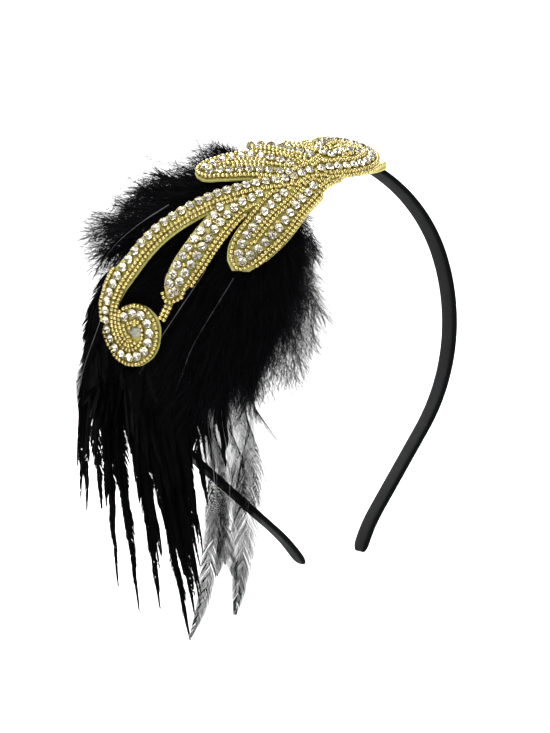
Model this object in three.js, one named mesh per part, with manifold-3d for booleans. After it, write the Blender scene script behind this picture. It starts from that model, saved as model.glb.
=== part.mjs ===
// Feather headband: a satin-covered hair band, a bead and rhinestone motif, and two plumes.
// Millimetres, +Z up. The band's ring lies in the XZ plane and the face looks along -Y.
// The origin is the underside of the band at the crown, where it rests on the head.
import * as THREE from 'three';
import { mergeVertices } from 'three/addons/utils/BufferGeometryUtils.js';
import Module from 'manifold-3d';

const wasm = await Module();
wasm.setup();

// Driving sizes

const gap = 0.3; // clearance between two pieces that touch

const band = {
  width: 10,
  thick: 2,
  edge: 0.5, // chamfer of the long edges
  crownRadius: 90,
  crownTurn: 7, // degrees that each arc turns, on one side
  shoulderRadius: 52.5,
  shoulderTurn: 73,
  sideRadius: 70.5,
  sideTurn: 50.5,
  armLength: 33.5,
  flareRadius: 56,
  flareTurn: 16.5,
  tipRound: 4,
  step: 8,
};

// The motif and the feathers lie over a half dome that starts on the band and bulges forward.
const dome = {
  beyond: 8.2, // how far its left rim stands out past the band's widest place
  beside: 0.2, // and its right rim
  over: 0.1, // clearance over the band's front edge at the crown
  down: 92.5, // reach from its centre down to its lowest point
  deep: 37.5,
  back: 8, // its centre, behind the band's middle
  drop: 34, // and below the origin
  chart: 60, // flat chart millimetres for each radian of bend
};

// Cloth facets are this long along a row, and no edge is longer than the last value on the chart.
const cloth = { thick: 1, rim: 0.9, facet: 6, longest: 13 };
const ribbon = { longest: 24, overlap: 1.5 };
const bead = { across: 1.7, sides: 8, step: 3.8 };
const pad = { thick: 4 }; // felt under the cloth, seated on the band

// A feather's or lock's profile is its half width at even steps from root to tip, as shares of the widest.
const lock = { half: 5.6, thick: 2.4, under: 3, profile: [0.6, 1.05, 1.1, 0.85, 0.12], detail: 0.7 };
const hackle = { half: 3.6, thick: 1, clear: 1.7, profile: [0.3, 1, 1.05, 0.95, 0.12], detail: 0.3 };
const pointed = 0.2; // a blade's thickness at its tip, as a share of the rest
const quills = { radius: 2.2, sides: 8 };
const stone = { cup: 3.1, pitch: 3.35, wall: 1.1, height: 1.9, table: 1.9, facets: 8 };

// A bead row lies beside a stone row, and needs more room where that turns round a tip or a curl.
const stoneCorner = stone.cup / 2 / Math.cos(Math.PI / stone.facets);
const besideStones = stoneCorner + gap + bead.across / 2;
const roundTip = besideStones + 0.7;

const radians = THREE.MathUtils.degToRad;

// Closed shapes

function volumeOf(positions, triangles) {
  let volume = 0;
  const corners = [new THREE.Vector3(), new THREE.Vector3(), new THREE.Vector3()];
  for (let i = 0; i < triangles.length; i += 3) {
    corners.forEach((corner, j) => corner.fromArray(positions, 3 * triangles[i + j]));
    volume += corners[0].dot(corners[1].clone().cross(corners[2])) / 6;
  }
  return volume;
}

function closedGeometry(positions, triangles) {
  const outward = volumeOf(positions, triangles) > 0 ? triangles : [...triangles].reverse();
  const geometry = new THREE.BufferGeometry();
  geometry.setAttribute('position', new THREE.Float32BufferAttribute(positions, 3));
  geometry.setIndex(outward);
  return geometry;
}

// Joins rings of points, all with the same count, into one closed skin with flat ends.
function loft(rings) {
  const count = rings[0].length;
  const positions = rings.flat().flatMap((point) => point.toArray());
  const triangles = [];
  for (let r = 0; r + 1 < rings.length; r += 1) {
    for (let i = 0; i < count; i += 1) {
      const a = r * count + i;
      const b = r * count + ((i + 1) % count);
      triangles.push(a, b, b + count, a, b + count, a + count);
    }
  }
  const last = (rings.length - 1) * count;
  for (let i = 1; i + 1 < count; i += 1) {
    triangles.push(0, i + 1, i);
    triangles.push(last, last + i, last + i + 1);
  }
  return closedGeometry(positions, triangles);
}

// A geometry's bare positions, with shared corners merged
function bareOf(geometry) {
  const bare = geometry.clone();
  bare.deleteAttribute('normal');
  bare.deleteAttribute('uv');
  return mergeVertices(bare, 1e-4);
}

function toSolid(geometry) {
  const merged = bareOf(geometry);
  return new wasm.Manifold(
    new wasm.Mesh({
      numProp: 3,
      vertProperties: new Float32Array(merged.attributes.position.array),
      triVerts: new Uint32Array(merged.index.array),
    }),
  );
}

function fromSolid(solid) {
  const mesh = solid.getMesh();
  const geometry = new THREE.BufferGeometry();
  geometry.setAttribute('position', new THREE.BufferAttribute(new Float32Array(mesh.vertProperties), 3));
  geometry.setIndex(new THREE.BufferAttribute(new Uint32Array(mesh.triVerts), 1));
  return geometry;
}

function fuse(geometries) {
  return geometries.map(toSolid).reduce((all, next) => all.add(next));
}

// The largest shell of a solid, without loose scraps and the hollows that it encloses
function outerShell(solid, detail) {
  const shells = solid.simplify(detail).decompose();
  return fromSolid(shells.reduce((best, next) => (next.volume() > best.volume() ? next : best)));
}

// The band's line: arcs from the crown to one tip, mirrored for the other side

const bandArcs = [
  { length: band.crownRadius * radians(band.crownTurn), bend: 1 / band.crownRadius },
  { length: band.shoulderRadius * radians(band.shoulderTurn), bend: 1 / band.shoulderRadius },
  { length: band.sideRadius * radians(band.sideTurn), bend: 1 / band.sideRadius },
  { length: band.armLength, bend: 0 },
  { length: band.flareRadius * radians(band.flareTurn), bend: -1 / band.flareRadius },
];
const halfLength = bandArcs.reduce((sum, arc) => sum + arc.length, 0);

// Place and outward direction at a distance along the band's inner face, negative to the left.
function bandAt(distance) {
  const side = Math.sign(distance) || 1;
  let left = Math.abs(distance);
  let turn = 0;
  let across = 0;
  let down = 0;
  for (const arc of bandArcs) {
    const run = Math.min(left, arc.length);
    const next = turn + arc.bend * run;
    if (arc.bend) {
      across += (Math.sin(next) - Math.sin(turn)) / arc.bend;
      down += (Math.cos(turn) - Math.cos(next)) / arc.bend;
    } else {
      across += run * Math.cos(turn);
      down += run * Math.sin(turn);
    }
    turn = next;
    left -= run;
  }
  return {
    place: new THREE.Vector3(side * across, 0, -down),
    outward: new THREE.Vector3(side * Math.sin(turn), 0, Math.cos(turn)),
  };
}

// The band's skin, with room to spare where it is used to cut its seat in the plume's pad.
function bandSkin(spare) {
  const steps = Math.ceil((2 * halfLength) / band.step);
  const ends = [0, 0.15, 0.5].map((share) => share * band.tipRound);
  const middle = Array.from({ length: steps + 1 }, (_, i) => {
    return band.tipRound + (i / steps) * 2 * (halfLength - band.tipRound);
  });
  const distances = [...ends, ...middle, ...ends.map((d) => 2 * halfLength - d).reverse()];
  return loft(
    distances.map((distance) => {
      const { place, outward } = bandAt(distance - halfLength);
      const fromTip = Math.min(distance, 2 * halfLength - distance, band.tipRound);
      const miss = band.tipRound - fromTip;
      const inset = band.tipRound - Math.sqrt(band.tipRound ** 2 - miss ** 2);
      const half = band.width / 2 - inset * 0.6 + spare;
      const low = -spare;
      const high = band.thick + spare;
      const section = [
        [half - band.edge, low],
        [half, low + band.edge],
        [half, high - band.edge],
        [half - band.edge, high],
      ];
      const whole = [...section, ...section.map(([y, out]) => [-y, out]).reverse()];
      return whole.map(([y, out]) => {
        return place.clone().addScaledVector(outward, out).add(new THREE.Vector3(0, y, 0));
      });
    }),
  );
}

// The dome: a flat chart, as the motif lies on the table, bent over the head

const eachMillimetre = Array.from({ length: Math.ceil(halfLength) }, (_, i) => bandAt(i).place.x);
const bandHalfWidth = Math.max(...eachMillimetre) + band.thick;
const frontEdge = (dome.back + band.width / 2) / dome.deep;

// The dome's reach from its centre to each side, up and down
const rim = {
  left: bandHalfWidth + dome.beyond,
  right: bandHalfWidth + dome.beside,
  up: (dome.drop + band.thick + dome.over) / Math.sqrt(1 - frontEdge ** 2),
  down: dome.down,
};

function domeReach(turn) {
  const across = Math.sin(turn) / (Math.sin(turn) < 0 ? rim.left : rim.right);
  const along = Math.cos(turn) / (Math.cos(turn) < 0 ? rim.down : rim.up);
  return 1 / Math.hypot(across, along);
}

// Chart point to a point on the dome, lifted off it along the surface's normal.
function drape(across, up, lift) {
  const turn = Math.atan2(across, up);
  const bend = Math.hypot(across, up) / dome.chart;
  const reach = domeReach(turn) * Math.sin(bend);
  const x = reach * Math.sin(turn);
  const z = reach * Math.cos(turn);
  const y = -dome.deep * Math.cos(bend);
  const wide = x < 0 ? rim.left : rim.right;
  const high = z < 0 ? rim.down : rim.up;
  const normal = new THREE.Vector3(x / wide ** 2, y / dome.deep ** 2, z / high ** 2).normalize();
  const place = new THREE.Vector3(x, y + dome.back, z - dome.drop);
  return { place: place.addScaledVector(normal, lift), normal };
}

// A point near the dome, back to the chart.
function chartOf(place) {
  const z = place.z + dome.drop;
  const turn = Math.atan2(place.x, z);
  const bend = Math.atan2(Math.hypot(place.x, z) / domeReach(turn), (dome.back - place.y) / dome.deep);
  return [bend * dome.chart * Math.sin(turn), bend * dome.chart * Math.cos(turn)];
}

// A line drawn on the chart, seated on the dome at a height above it.
function chartLine(points, lift) {
  return new THREE.CatmullRomCurve3(
    points.map(([across, up]) => drape(across, up, lift).place),
    false,
    'centripetal',
  );
}

// A line beside another: to the right of its travel as the viewer sees it, or to the left.
function beside(line, offset, lift, from = 0, to = 1, rows = 40) {
  const points = [];
  for (let i = 0; i <= rows; i += 1) {
    const share = Math.min(1, from + ((to - from) * i) / rows);
    const place = line.getPointAt(share);
    const normal = drape(...chartOf(place), 0).normal;
    const side = line.getTangentAt(share).cross(normal).normalize();
    const distance = typeof offset === 'function' ? offset(share) : offset;
    points.push(drape(...chartOf(place.addScaledVector(side, distance)), lift).place);
  }
  return new THREE.CatmullRomCurve3(points, false, 'centripetal');
}

// The motif's lines on the chart, each from the hub to its tip

const clothTop = cloth.thick + gap;
const beadLift = clothTop + gap + bead.across / 2;
const stoneLift = clothTop + gap;
const motifHeight = stoneLift + stone.height + gap;

const lines = {
  frontLeaf: [[1, 33], [-6, 26], [-12, 20], [-17, 13], [-21, 6], [-26, -2]],
  scroll: [
    [5, 41], [-10, 37], [-27, 32], [-41, 24], [-54, 14], [-65, 4], [-74, -4], [-80, -14], [-80, -23],
    [-75, -29], [-67, -30], [-59, -26], [-57, -19], [-61, -14], [-69, -15],
  ],
  centreLeaf: [[-23, 29], [-30, 21], [-35, 14], [-38.5, 8], [-42, 2], [-46, -4], [-49, -9]],
  upperLeaf: [[4, 45], [-9, 48], [-21, 50], [-33, 50], [-42, 46], [-47, 42]],
  topLeaf: [[14, 53], [5, 58], [-5, 62], [-15, 66], [-23, 68]],
  crownCurl: [
    [12, 40], [22, 36], [34, 37], [44, 42], [49, 50], [45, 58], [36, 62], [27, 63], [20, 58], [20, 51],
    [27, 48],
  ],
};

const seated = Object.fromEntries(
  Object.entries(lines).map(([name, points]) => [name, chartLine(points, stoneLift)]),
);

// Two rows that meet round a leaf's tip: half their distance apart, by share of the leaf's length.
function leafSpread(widest, share, pointed) {
  return widest * Math.sqrt(1 - Math.max(0, (share - 1 + pointed) / pointed) ** 2);
}

// The row down a leaf's one side, round its tip and back. It starts and ends at shares of the leaf's length.
function hairpin(line, widest, pointed, [start, end]) {
  const side = (sign, from) => {
    const spread = (share) => sign * leafSpread(widest, share, pointed);
    return beside(line, spread, stoneLift, from, 1, 12).points;
  };
  const there = side(-1, start);
  const back = side(1, end).reverse();
  return new THREE.CatmullRomCurve3([...there, ...back.slice(1)], false, 'centripetal');
}

// Rhinestones side by side along a line, as one chain of cups. Each has an eight-sided cup, a crown of
// eight facets and a table, and a short link joins its front to the next one's back.
function stoneChain(line) {
  const count = Math.max(2, Math.round(line.getLength() / stone.pitch));
  const sides = stone.facets;
  const levels = [
    { radius: stoneCorner, height: 0 },
    { radius: stoneCorner, height: stone.wall },
    { radius: stone.table / 2, height: stone.height },
  ];
  const positions = [];
  const triangles = [];
  const quad = (a, b, c, d) => triangles.push(a, b, c, a, c, d);
  const corner = (index, level, side) => (index * levels.length + level) * sides + (side % sides);
  const back = sides / 2 - 1;
  for (let i = 0; i <= count; i += 1) {
    const share = i / count;
    const place = line.getPointAt(share);
    const { normal } = drape(...chartOf(place), 0);
    const side = normal.clone().cross(line.getTangentAt(share)).normalize();
    const forward = side.clone().cross(normal);
    for (const { radius, height } of levels) {
      for (let k = 0; k < sides; k += 1) {
        const turn = (2 * Math.PI * (k + 0.5)) / sides;
        const point = place.clone().addScaledVector(normal, height);
        point.addScaledVector(forward, radius * Math.cos(turn));
        point.addScaledVector(side, radius * Math.sin(turn));
        positions.push(...point.toArray());
      }
    }
    for (let k = 0; k < sides; k += 1) {
      const linked = (k === sides - 1 && i < count) || (k === back && i > 0);
      if (!linked) {
        quad(corner(i, 0, k), corner(i, 0, k + 1), corner(i, 1, k + 1), corner(i, 1, k));
      }
      quad(corner(i, 1, k), corner(i, 1, k + 1), corner(i, 2, k + 1), corner(i, 2, k));
    }
    for (let k = 1; k + 1 < sides; k += 1) {
      triangles.push(corner(i, 2, 0), corner(i, 2, k), corner(i, 2, k + 1));
      triangles.push(corner(i, 0, 0), corner(i, 0, k + 1), corner(i, 0, k));
    }
    if (i < count) {
      const near = [0, 1].map((level) => [corner(i, level, sides - 1), corner(i, level, 0)]);
      const far = [0, 1].map((level) => [corner(i + 1, level, back + 1), corner(i + 1, level, back)]);
      quad(near[0][1], near[1][1], far[1][1], far[0][1]);
      quad(near[0][0], far[0][0], far[1][0], near[1][0]);
      quad(near[1][0], far[1][0], far[1][1], near[1][1]);
      quad(near[0][0], near[0][1], far[0][1], far[0][0]);
    }
  }
  return closedGeometry(positions, triangles);
}

// A string of seed beads as one round cord.
function beadString(line) {
  const round = new THREE.Shape();
  for (let i = 0; i < bead.sides; i += 1) {
    const turn = (2 * Math.PI * (i + 0.5)) / bead.sides;
    const point = [(Math.cos(turn) * bead.across) / 2, (Math.sin(turn) * bead.across) / 2];
    if (i === 0) {
      round.moveTo(...point);
    } else {
      round.lineTo(...point);
    }
  }
  const steps = Math.max(2, Math.round(line.getLength() / bead.step));
  return new THREE.ExtrudeGeometry(round, { steps, extrudePath: line });
}

// Rows of the motif. Stones that meet round a leaf's tip are one row, and its beads run outside them.

const spread = { frontLeaf: 4.8, centreLeaf: 2.1, upperLeaf: 3.6 };
const stoneRows = {
  front_leaf: hairpin(seated.frontLeaf, spread.frontLeaf, 1, [0.03, 0.2]),
  scroll: seated.scroll,
  centre_leaf: hairpin(seated.centreLeaf, spread.centreLeaf, 0.3, [0.2, 0.34]),
  upper_leaf: hairpin(seated.upperLeaf, spread.upperLeaf, 0.5, [0.3, 0.08]),
  top_leaf: beside(seated.topLeaf, 1.2, stoneLift, 0.1),
  crown_curl: seated.crownCurl,
};

const beadRows = {
  front_leaf_edge: beside(stoneRows.front_leaf, -roundTip, beadLift, 0, 0.93),
  front_leaf_middle: beside(seated.frontLeaf, 0, beadLift, 0.06, 0.78),
  scroll_arm: beside(seated.scroll, -besideStones, beadLift, 0.2, 0.6),
  scroll_curl: beside(seated.scroll, roundTip, beadLift, 0.62, 0.95),
  centre_leaf_edge: beside(stoneRows.centre_leaf, -besideStones - gap / 2, beadLift, 0.1, 0.46),
  upper_leaf_edge: beside(stoneRows.upper_leaf, -roundTip - gap, beadLift, 0.08, 0.7),
  upper_leaf_middle: beside(seated.upperLeaf, 0, beadLift, 0.1, 0.7),
  top_leaf: beside(seated.topLeaf, -1.8, beadLift, 0.1),
  crown_curl_inside: beside(seated.crownCurl, -roundTip, beadLift, 0.02, 0.7),
  crown_curl_outside: beside(seated.crownCurl, roundTip, beadLift, 0.1, 0.6),
};

// The cloth under the motif: a ribbon under each row, joined flat on the chart, then bent over the dome

function ribbons(line, half, deep, spare) {
  const pieces = Math.ceil(line.getLength() / ribbon.longest);
  const overlap = ribbon.overlap / line.getLength();
  return Array.from({ length: pieces }, (_, i) => {
    const from = Math.max(0, i / pieces - overlap);
    const to = Math.min(1, (i + 1) / pieces + overlap);
    const steps = Math.ceil(((to - from) * line.getLength()) / cloth.facet);
    const sides = [-1, 1].map((sign) => beside(line, sign * (half + spare), 0, from, to, steps).points);
    sides.forEach((side) => {
      side[0].addScaledVector(line.getTangentAt(from), -spare);
      side[steps].addScaledVector(line.getTangentAt(to), spare);
    });
    const outline = [...sides[0], ...sides[1].reverse()].map((place) => new THREE.Vector2(...chartOf(place)));
    return new THREE.ExtrudeGeometry(new THREE.Shape(outline), { depth: deep, bevelEnabled: false });
  });
}

// Cuts every edge longer than the limit in half until none is left, so that the flat cloth can bend.
function refine(geometry, longest) {
  const points = [];
  const source = geometry.attributes.position;
  for (let i = 0; i < source.count; i += 1) {
    points.push(new THREE.Vector3().fromBufferAttribute(source, i));
  }
  let triangles = Array.from(geometry.index.array);
  for (let again = true; again; ) {
    again = false;
    const middles = new Map();
    const middle = (a, b) => {
      if (points[a].distanceTo(points[b]) <= longest) {
        return -1;
      }
      const key = a < b ? `${a} ${b}` : `${b} ${a}`;
      if (!middles.has(key)) {
        middles.set(key, points.push(points[a].clone().lerp(points[b], 0.5)) - 1);
      }
      return middles.get(key);
    };
    const next = [];
    for (let i = 0; i < triangles.length; i += 3) {
      let [a, b, c] = triangles.slice(i, i + 3);
      let [ab, bc, ca] = [middle(a, b), middle(b, c), middle(c, a)];
      for (let turn = 0; turn < 2 && (ab < 0 || (bc < 0 && ca >= 0)); turn += 1) {
        [a, b, c, ab, bc, ca] = [b, c, a, bc, ca, ab];
      }
      if (ab < 0) {
        next.push(a, b, c);
      } else if (bc < 0) {
        next.push(a, ab, c, ab, b, c);
      } else if (ca < 0) {
        next.push(ab, b, bc, a, ab, bc, a, bc, c);
      } else {
        next.push(a, ab, ca, ab, b, bc, ca, bc, c, ab, bc, ca);
      }
    }
    again = middles.size > 0;
    triangles = next;
  }
  return { points, triangles };
}

function bend(flat, lift) {
  const { points, triangles } = refine(flat, cloth.longest);
  const placed = points.map((point) => drape(point.x, point.y, lift + point.z).place);
  return closedGeometry(placed.flatMap((place) => place.toArray()), triangles);
}

// A whole leaf, out to a distance beyond the row that goes round it
function leafPatch(row, half, deep) {
  const steps = Math.ceil(row.getLength() / cloth.facet);
  const outline = beside(row, -half, 0, 0, 1, steps).points;
  const shape = new THREE.Shape(outline.map((place) => new THREE.Vector2(...chartOf(place))));
  return new THREE.ExtrudeGeometry(shape, { depth: deep, bevelEnabled: false });
}

const hub = chartLine([[14, 54], [10, 46], [5, 40], [-5, 37], [-16, 34], [-25, 26]], clothTop);

// The cloth, or with room to spare and more depth the space that the fluff leaves free for the motif
function clothSkin(spare, deep, lift) {
  const underStones = stoneCorner + gap;
  const underBeads = bead.across / 2 + cloth.rim;
  const underRows = [
    [stoneRows.scroll, underStones],
    [stoneRows.top_leaf, underStones],
    [stoneRows.crown_curl, underStones],
    [beadRows.scroll_arm, underBeads],
    [beadRows.scroll_curl, underBeads],
    [beadRows.centre_leaf_edge, underBeads],
    [beadRows.top_leaf, underBeads],
    [beadRows.crown_curl_inside, underBeads],
    [beadRows.crown_curl_outside, underBeads],
    [hub, stone.cup],
  ];
  const pieces = [
    leafPatch(stoneRows.front_leaf, roundTip + underBeads + spare, deep),
    leafPatch(stoneRows.upper_leaf, roundTip + underBeads + spare, deep),
    leafPatch(stoneRows.centre_leaf, underStones + spare, deep),
    ...underRows.flatMap(([row, half]) => ribbons(row, half, deep, spare)),
  ];
  return bend(fromSolid(fuse(pieces)), lift);
}

// The pad: a felt patch of the dome between the cloth and the band, with the band's seat cut out

function padPatch() {
  const outline = [[-24, 37], [-6, 32], [12, 33], [30, 36], [40, 44], [42, 54], [30, 59], [12, 62], [-10, 60],
    [-30, 54], [-36, 45]];
  const shape = new THREE.Shape(outline.map(([across, up]) => new THREE.Vector2(across, up)));
  const flat = new THREE.ExtrudeGeometry(shape, { depth: pad.thick, bevelEnabled: false });
  return bend(bareOf(flat), -pad.thick);
}

// The dome's outward direction, also for a point beyond its rim
function domeNormal({ x, y, z }) {
  const high = z + dome.drop;
  const wide = x < 0 ? rim.left : rim.right;
  const tall = high < 0 ? rim.down : rim.up;
  return new THREE.Vector3(x / wide ** 2, (y - dome.back) / dome.deep ** 2, high / tall ** 2).normalize();
}

// A point of the fluff: behind the dome by a depth, or level with its rim where it is beyond it
function underMotif(x, z) {
  const high = z + dome.drop;
  const reach = Math.hypot(x / (x < 0 ? rim.left : rim.right), high / (high < 0 ? rim.down : rim.up));
  const inFront = Math.sqrt(Math.max(0.02, 1 - reach ** 2));
  const place = new THREE.Vector3(x, dome.back - dome.deep * inFront, z);
  return place.addScaledVector(domeNormal(place), -lock.under);
}

// A feather or lock as a pointed blade with a ridge along a line, widest where its profile is highest
function blade(line, half, thick, profile, facing = () => new THREE.Vector3(0, -1, 0)) {
  const last = profile.length - 1;
  const rings = profile.map((wide, r) => {
    const share = r / last;
    const high = thick * (r === last ? pointed : 1);
    const place = line.getPointAt(share);
    const along = line.getTangentAt(share);
    const side = facing(place).cross(along).normalize();
    const front = along.clone().cross(side);
    return [[half * wide, 0], [0, high], [-half * wide, 0]].map(([out, up]) => {
      return place.clone().addScaledVector(side, out).addScaledVector(front, up);
    });
  });
  return loft(rings);
}

// A lock from its root by way of one more point to its tip, behind the motif
function lockOf([rootX, rootZ], [viaX, viaZ, tipX, tipZ]) {
  const flat = new THREE.CatmullRomCurve3([
    new THREE.Vector3(rootX, 0, rootZ),
    new THREE.Vector3(viaX, 0, viaZ),
    new THREE.Vector3(tipX, 0, tipZ),
  ]);
  const line = new THREE.CatmullRomCurve3(flat.getSpacedPoints(8).map(({ x, z }) => underMotif(x, z)));
  return blade(line, lock.half, lock.thick, lock.profile, domeNormal);
}

// Locks in the XZ plane: the point on the way and the tip. All start at the pad's lower edge.
const lockTips = [
  [-20, -5, -36, -2], [-34, -7, -56, -3], [-44, -14, -72, -13], [-50, -21, -80, -26], [-60, -29, -84, -46],
  [-71, -36, -88, -68], [-74, -44, -90, -88], [-30, -48, -47, -76], [-26, -52, -38, -88], [-18, -54, -24, -92],
  [-10, -50, -10, -82], [-2, -40, 2, -64], [1, -28, 7, -44], [-30, -24, -58, -38], [-33, -33, -60, -54],
  [-25, -38, -42, -62],
];
const locks = lockTips.map((points) => lockOf([-9 + points[0] / 8, -11], points));

// Hackles: flat pointed feathers that hang in one layer in front of the band, from bound quills
const hackleDepth = -band.width / 2 - hackle.clear;
const quillLine = [[-8, -6.7], [-14, -18], [-28, -34]];
const hackleTips = [
  [-88, -88], [-86, -94], [-87, -110], [-81, -109], [-78, -116], [-80, -135], [-66, -144], [-59, -157],
  [-54, -155], [-49, -143], [-41, -151], [-34, -128], [-22, -104], [-22, -110], [-72, -124], [-62, -132],
];

function hackleOf([tipX, tipZ], index) {
  const [rootX, rootZ] = quillLine[quillLine.length - 1];
  const depth = hackleDepth + hackle.thick * 0.2 * Math.sin(2 * index);
  const line = new THREE.CatmullRomCurve3([
    new THREE.Vector3(rootX + 3, depth, rootZ + 6),
    new THREE.Vector3(rootX + (tipX - rootX) * 0.3, depth, rootZ + (tipZ - rootZ) * 0.42),
    new THREE.Vector3(rootX + (tipX - rootX) * 0.72, depth, rootZ + (tipZ - rootZ) * 0.75),
    new THREE.Vector3(tipX, depth, tipZ),
  ]);
  return blade(line, hackle.half, hackle.thick, hackle.profile);
}

function quillBundle() {
  const line = new THREE.CatmullRomCurve3(
    quillLine.map(([x, z]) => new THREE.Vector3(x, hackleDepth - quills.radius, z)),
  );
  const rings = [0, 0.5, 1].map((share) => {
    const along = line.getTangentAt(share);
    const side = along.clone().cross(new THREE.Vector3(0, 1, 0)).normalize();
    const front = side.clone().cross(along);
    return Array.from({ length: quills.sides }, (_, k) => {
      const turn = (2 * Math.PI * k) / quills.sides;
      return line.getPointAt(share)
        .addScaledVector(side, quills.radius * Math.cos(turn))
        .addScaledVector(front, quills.radius * Math.sin(turn));
    });
  });
  return loft(rings);
}

// Named pieces

const headband = new THREE.Group();

function addPiece(name, geometry, color, roughness, metalness) {
  const bare = geometry.index ? geometry.toNonIndexed() : geometry;
  bare.computeVertexNormals();
  const material = new THREE.MeshStandardMaterial({ color, roughness, metalness, flatShading: true });
  const mesh = new THREE.Mesh(bare, material);
  mesh.name = name;
  headband.add(mesh);
}

const bandSeat = toSolid(bandSkin(gap));
const motifSeat = toSolid(clothSkin(2 * gap, motifHeight + 2 * gap, -3 * gap));
const fluff = fuse([padPatch(), ...locks]).subtract(bandSeat).subtract(motifSeat);
const hackles = fuse([quillBundle(), ...hackleTips.map(hackleOf)]).subtract(motifSeat);

addPiece('band', bandSkin(0), '#1b1b1d', 0.45, 0);
addPiece('motif_cloth', clothSkin(0, cloth.thick, gap), '#b9ac4a', 0.9, 0);
Object.entries(stoneRows).forEach(([name, row]) => {
  addPiece(`stones_${name}`, stoneChain(row), '#eef2f4', 0.05, 0);
});
Object.entries(beadRows).forEach(([name, row]) => {
  addPiece(`beads_${name}`, beadString(row), '#d9b530', 0.25, 1);
});
addPiece('marabou_plume', outerShell(fluff, lock.detail), '#151516', 0.9, 0);
addPiece('hackle_plume', outerShell(hackles, hackle.detail), '#111113', 0.6, 0);

export default headband;
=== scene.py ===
# %% [markdown]
# A feather headband in the style of the 1920s, as a model to look at closely.
# The frame holds the measured CAD solids. Each of them is replaced here by a finer piece of the same form:
# satin on the band, cut glass stones in gilt cups, seed beads on thread, downy fluff and long glossy hackles.

import math

import bpy
import numpy as np
from mathutils import Matrix, Vector


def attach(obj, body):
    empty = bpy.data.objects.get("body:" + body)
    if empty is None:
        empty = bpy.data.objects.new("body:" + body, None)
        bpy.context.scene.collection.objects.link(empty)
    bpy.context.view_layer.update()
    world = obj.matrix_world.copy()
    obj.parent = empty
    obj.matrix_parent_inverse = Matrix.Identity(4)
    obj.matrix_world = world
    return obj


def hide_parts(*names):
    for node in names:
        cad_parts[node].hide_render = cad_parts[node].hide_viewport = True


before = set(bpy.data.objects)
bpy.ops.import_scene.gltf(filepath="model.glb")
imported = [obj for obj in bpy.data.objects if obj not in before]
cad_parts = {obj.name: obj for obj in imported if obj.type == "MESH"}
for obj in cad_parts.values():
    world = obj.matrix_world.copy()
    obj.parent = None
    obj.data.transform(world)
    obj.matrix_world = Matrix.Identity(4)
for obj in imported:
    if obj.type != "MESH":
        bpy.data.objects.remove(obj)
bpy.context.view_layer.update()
rng = np.random.default_rng(1926)
MM = 0.001
print("CAD nodes:", len(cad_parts))

# %% [markdown]
# The band is a springy strip bent into arcs: a nearly flat crown, round shoulders, long sides and two straight
# arms whose ends flare out again. These are the same sizes as in the CAD source, in millimetres and degrees.

# %% Sizes of the band, the motif's dome and the rows
BAND_WIDTH, BAND_THICK, BAND_TIP = 10, 2, 4
BAND_ARCS = [  # radius, turn of one side; a straight has its length and no turn
    (90, 7),
    (52.5, 73),
    (70.5, 50.5),
    (33.5, 0),
    (-56, 16.5),
]
LEFT, RIGHT, UP, DOWN, DEEP = 67.5, 59.5, 38.5, 92.5, 37.5
BACK, DROP, CHART = 8, 34, 60
CLOTH, GAP = 1.0, 0.3
CUP, PITCH = 3.1, 3.3
BEAD, BEAD_PITCH, ROW_PITCH = 1.7, 1.42, 1.5
STONE_LIFT = CLOTH + 2 * GAP
BEAD_LIFT = STONE_LIFT + BEAD / 2 - 0.1
BESIDE = CUP / 2 + BEAD / 2 + 0.1
SECOND = BESIDE + ROW_PITCH

# %% [markdown]
# Everything on the motif is laid out on a flat chart, as on a sewing table, and then bent over half a dome that
# stands for the side of the head. A point of the chart keeps its direction from the dome's front pole, and its
# distance becomes an angle. Curves through the chart's points are smooth splines, walked by their real length.


# %% The dome, splines and rows
def drape(across, up, lift):
    across, up = np.asarray(across, float), np.asarray(up, float)
    turn = np.arctan2(across, up)
    bend = np.hypot(across, up) / CHART
    wide, high = np.where(np.sin(turn) < 0, LEFT, RIGHT), np.where(np.cos(turn) < 0, DOWN, UP)
    reach = np.sin(bend) / np.hypot(np.sin(turn) / wide, np.cos(turn) / high)
    x, y, z = reach * np.sin(turn), -DEEP * np.cos(bend), reach * np.cos(turn)
    normal = np.stack([x / wide**2, y / DEEP**2, z / high**2], -1)
    normal /= np.linalg.norm(normal, axis=-1, keepdims=True)
    return np.stack([x, y + BACK, z - DROP], -1) + normal * np.asarray(lift)[..., None], normal


def chart_of(points):
    x, y, z = points[..., 0], points[..., 1], points[..., 2] + DROP
    turn = np.arctan2(x, z)
    wide, high = np.where(x < 0, LEFT, RIGHT), np.where(z < 0, DOWN, UP)
    reach = 1 / np.hypot(np.sin(turn) / wide, np.cos(turn) / high)
    bend = CHART * np.arctan2(np.hypot(x, z) / reach, (BACK - y) / DEEP)
    return bend * np.sin(turn), bend * np.cos(turn)


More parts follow.
